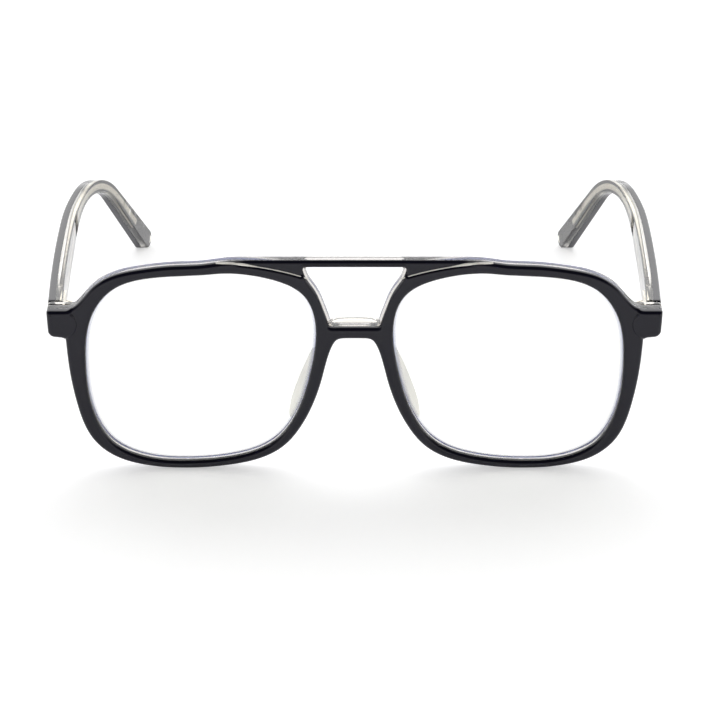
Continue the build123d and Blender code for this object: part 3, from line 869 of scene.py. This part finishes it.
def pad_shape(node_name, sizes):
    """A nose pad: it rises from its foot along an ease curve and closes over a rounded face."""
    low, high = box_mm(node_name)
    foot, worn = (smooth_outline(largest(facing_loops(node_name, y)), 0.25, 0.1)
                  for y in (low[1], high[1]))
    top = foot[:, 1].max()
    foot, worn = pad_outline(foot, top, sizes), pad_outline(worn, top, sizes)
    height = high[1] - low[1]
    side_share, dome_share = 0.93, 0.07
    rows = []
    for t in np.linspace(0, 1, PAD_ROWS):
        turn = t * np.pi / 2
        share = np.sin(turn) ** 1.6
        flat = foot + (worn - foot) * share
        centre = flat.mean(axis=0)
        swell = 1 + 0.35 * np.sin(turn * 2) ** 2 * share
        flat = centre + (flat - centre) * (swell if t < 1 else 1)
        deep = low[1] + height * (1 - np.cos(turn)) ** 0.75 * side_share
        rows.append(np.column_stack([flat, np.full(PAD_POINTS, deep)]))
    rim = rows[-1][:, :2]
    centre = rim.mean(axis=0)
    for t in (0.85, 0.6, 0.3):
        deep = low[1] + height * (side_share + dome_share * (1 - t**2))
        rows.append(np.column_stack([centre + (rim - centre) * t, np.full(PAD_POINTS, deep)]))
    local, faces = capped(rows, [*foot.mean(axis=0), low[1]], [*centre, high[1]])
    return flat_place(*local.T), faces


class SPECTACLES_OT_nose_pads(Operator):
    """Clear nose pads built up behind the rims"""
    bl_idname = "spectacles.nose_pads"
    bl_label = "Nose pads"

    def execute(self, context):
        for side in SIDES:
            shape = pad_shape("nose_pad_" + side, context.scene.spectacle_sizes)
            make_piece("clear_pad_" + side, shape, finish_for("satin_pad"), "nose_pad_" + side)
        return {"FINISHED"}


# ------------------------------------------------------------------ temples
def temple_curve(side):
    """Reach of a temple's outer skin from the middle plane, at evenly spaced depths y.

    The last 4 mm at each end follow a straight line fitted to the 8 mm of skin before them,
    and a short window smooths the whole.
    """
    skin = skin_loop("temple_outer_layer_" + side, SIDES[side])
    order = np.argsort(skin[:, 0])
    y, x = skin[order, 0], skin[order, 2]
    samples = np.linspace(y[0], y[-1], 160)
    ends = 4.0
    core = (y > y[0] + ends) & (y < y[-1] - ends)
    reach = np.interp(samples, y[core], x[core])
    for near in (samples < y[0] + ends, samples > y[-1] - ends):
        edge = samples[near].min() if near[-1] else samples[near].max()
        part = core & (np.abs(y - edge) < 3 * ends)
        reach[near] = np.polyval(np.polyfit(y[part], x[part], 1), samples[near])
    window = 9
    kernel = np.hanning(window) / np.hanning(window).sum()
    padded = np.pad(reach, window // 2, mode="reflect", reflect_type="odd")
    return samples, np.convolve(padded, kernel, mode="valid")


def temple_plate(node_name, side, step, rounding, overlap=0.0, spacing=2.0):
    """A bent plate of a temple: its side view is its own skin's outline.

    Depth is measured inwards from the temple's outer skin, so all its layers share one curve.
    """
    sign = SIDES[side]
    curve = temple_curve(side)
    skin = skin_loop(node_name, sign)
    front = np.median(np.interp(skin[:, 0], *curve) - skin[:, 2])
    tri, normal = triangles(node_name)
    inner = tri[normal[:, 0] * sign < -0.7].reshape(-1, 3)
    back = np.max(np.interp(inner[:, 1], *curve) - inner[:, 0] * sign)

    def place(u, v, depth):
        return np.column_stack([sign * (np.interp(u, *curve) - depth), u, v])

    outline = smooth_outline(skin, step, 0.3)
    return plate([outline], place, front, back + overlap, rounding[0], rounding[1], spacing)


class SPECTACLES_OT_temples(Operator):
    """Black outer and clear inner layer of each temple"""
    bl_idname = "spectacles.temples"
    bl_label = "Temples"

    def execute(self, context):
        sizes = context.scene.spectacle_sizes
        for side in SIDES:
            shape = temple_plate("temple_outer_layer_" + side, side, 0.4,
                                 (sizes.temple_round, TINY_ROUND), sizes.bond_overlap)
            make_piece("black_temple_" + side, shape, finish_for("black_acetate"),
                       "temple_outer_layer_" + side)
            shape = temple_plate("temple_inner_layer_" + side, side, 0.4,
                                 (TINY_ROUND, sizes.temple_round))
            make_piece("clear_temple_" + side, shape, finish_for("clear_acetate"),
                       "temple_inner_layer_" + side)
        return {"FINISHED"}


class SPECTACLES_OT_core_wires(Operator):
    """Flat core wires inside the clear temple layers"""
    bl_idname = "spectacles.core_wires"
    bl_label = "Core wires"

    def execute(self, context):
        for side in SIDES:
            shape = temple_plate("core_wire_" + side, side, 0.3, (0.2, 0.2), spacing=1.5)
            make_piece("flat_core_wire_" + side, shape, finish_for("core_wire_metal"),
                       "core_wire_" + side)
        return {"FINISHED"}


# ------------------------------------------------------------------ hinges
class SPECTACLES_OT_hinges(Operator):
    """Hinge leaves and screws"""
    bl_idname = "spectacles.hinges"
    bl_label = "Hinges"

    def execute(self, context):
        for side in SIDES:
            for part in ("hinge_front_leaf_", "hinge_temple_leaf_", "hinge_screw_"):
                NODES[part + side].data.materials.clear()
                NODES[part + side].data.materials.append(finish_for("hinge_metal"))
        return {"FINISHED"}


# ------------------------------------------------------------------ studio
def softbox(name, place, aim, size, power):
    light = bpy.data.lights.new(name, "AREA")
    light.shape = "RECTANGLE"
    light.size, light.size_y = size
    light.energy = power
    lamp = bpy.data.objects.new(name, light)
    bpy.context.scene.collection.objects.link(lamp)
    lamp.location = place
    lamp.rotation_euler = (Vector(aim) - Vector(place)).to_track_quat("-Z", "Y").to_euler()
    return lamp


class SPECTACLES_OT_studio(Operator):
    """White floor, soft light and the camera"""
    bl_idname = "spectacles.studio"
    bl_label = "Studio"

    def execute(self, context):
        studio = context.scene.spectacle_studio
        half = 4.0
        corners = [(-half, -half, 0), (half, -half, 0), (half, half, 0), (-half, half, 0)]
        mesh = bpy.data.meshes.new("floor")
        mesh.from_pydata(corners, [], [(0, 1, 2, 3)])
        floor = bpy.data.objects.new("floor", mesh)
        context.scene.collection.objects.link(floor)
        material, tree = blank("matt_white_floor")
        surface(tree, Base_Color=(*studio.floor_colour, 1.0), Roughness=0.7,
                Specular_IOR_Level=0.1, Emission_Color=(1, 1, 1, 1),
                Emission_Strength=studio.floor_glow)
        mesh.materials.append(material)
        middle = (0, 0, 0)
        softbox("rear_softbox", (0, 0.7, 1.0), middle, (1.4, 0.8), studio.rear_power)
        for sign in (1, -1):
            softbox("side_softbox", (1.1 * sign, 0.2, 0.5), middle, (0.9, 0.7), studio.side_power)
        world = bpy.data.worlds.new("soft_room")
        world.use_nodes = True
        world.node_tree.nodes.clear()
        tree = world.node_tree
        way = node(tree, "ShaderNodeTexCoord").outputs["Generated"]
        parts = node(tree, "ShaderNodeSeparateXYZ", [("Vector", way)])
        wall = node(tree, "ShaderNodeMapRange", [("Value", parts.outputs["Y"])],
                    From_Min=0.25, From_Max=0.6,
                    To_Min=studio.room_strength, To_Max=studio.wall_strength)
        horizon = node(tree, "ShaderNodeMapRange", [("Value", parts.outputs["Z"])],
                       From_Min=0.2, From_Max=0.35,
                       To_Min=studio.horizon_strength, To_Max=studio.room_strength)
        links = [(0, wall.outputs["Result"]), (1, horizon.outputs["Result"])]
        both = node(tree, "ShaderNodeMath", links, operation="MAXIMUM")
        sky = node(tree, "ShaderNodeBackground", [("Strength", both.outputs["Value"])],
                   Color=(1, 1, 1, 1))
        node(tree, "ShaderNodeOutputWorld", [("Surface", sky.outputs["Background"])])
        context.scene.world = world
        context.scene.view_settings.view_transform = "Standard"
        tilt, back, up = 26.66, 0.6276, 0.3461
        lens = bpy.data.cameras.new("camera")
        lens.sensor_width = 36.0
        lens.lens = 150.5
        lens.clip_start = 0.05
        camera = bpy.data.objects.new("camera", lens)
        context.scene.collection.objects.link(camera)
        camera.location = (0, front_levels()[1] * MM - back, up)
        camera.rotation_euler = (np.radians(90 - tilt), 0, 0)
        context.scene.camera = camera
        return {"FINISHED"}


class SPECTACLES_PT_panel(Panel):
    bl_label = "Spectacles"
    bl_idname = "SPECTACLES_PT_panel"
    bl_space_type = "VIEW_3D"
    bl_region_type = "UI"
    bl_category = "Spectacles"

    def draw(self, context):
        for group in ("spectacle_sizes", "spectacle_looks", "spectacle_studio"):
            settings = getattr(context.scene, group)
            for key in settings.__annotations__:
                self.layout.prop(settings, key)
        for operator in OPERATORS:
            self.layout.operator(operator.bl_idname)


OPERATORS = (
    SPECTACLES_OT_front_black,
    SPECTACLES_OT_front_clear,
    SPECTACLES_OT_lenses,
    SPECTACLES_OT_nose_pads,
    SPECTACLES_OT_temples,
    SPECTACLES_OT_core_wires,
    SPECTACLES_OT_hinges,
    SPECTACLES_OT_studio,
)
CLASSES = (SpectacleSizes, SpectacleLooks, StudioSettings) + OPERATORS + (SPECTACLES_PT_panel,)


def register():
    for cls in CLASSES:
        bpy.utils.register_class(cls)
    bpy.types.Scene.spectacle_sizes = PointerProperty(type=SpectacleSizes)
    bpy.types.Scene.spectacle_looks = PointerProperty(type=SpectacleLooks)
    bpy.types.Scene.spectacle_studio = PointerProperty(type=StudioSettings)


def unregister():
    del bpy.types.Scene.spectacle_studio
    del bpy.types.Scene.spectacle_looks
    del bpy.types.Scene.spectacle_sizes
    for cls in reversed(CLASSES):
        bpy.utils.unregister_class(cls)


def main():
    register()
    bpy.ops.spectacles.front_black()
    bpy.ops.spectacles.front_clear()
    bpy.ops.spectacles.lenses()
    bpy.ops.spectacles.nose_pads()
    bpy.ops.spectacles.temples()
    bpy.ops.spectacles.core_wires()
    bpy.ops.spectacles.hinges()
    bpy.ops.spectacles.studio()


if __name__ == "__main__":
    main()
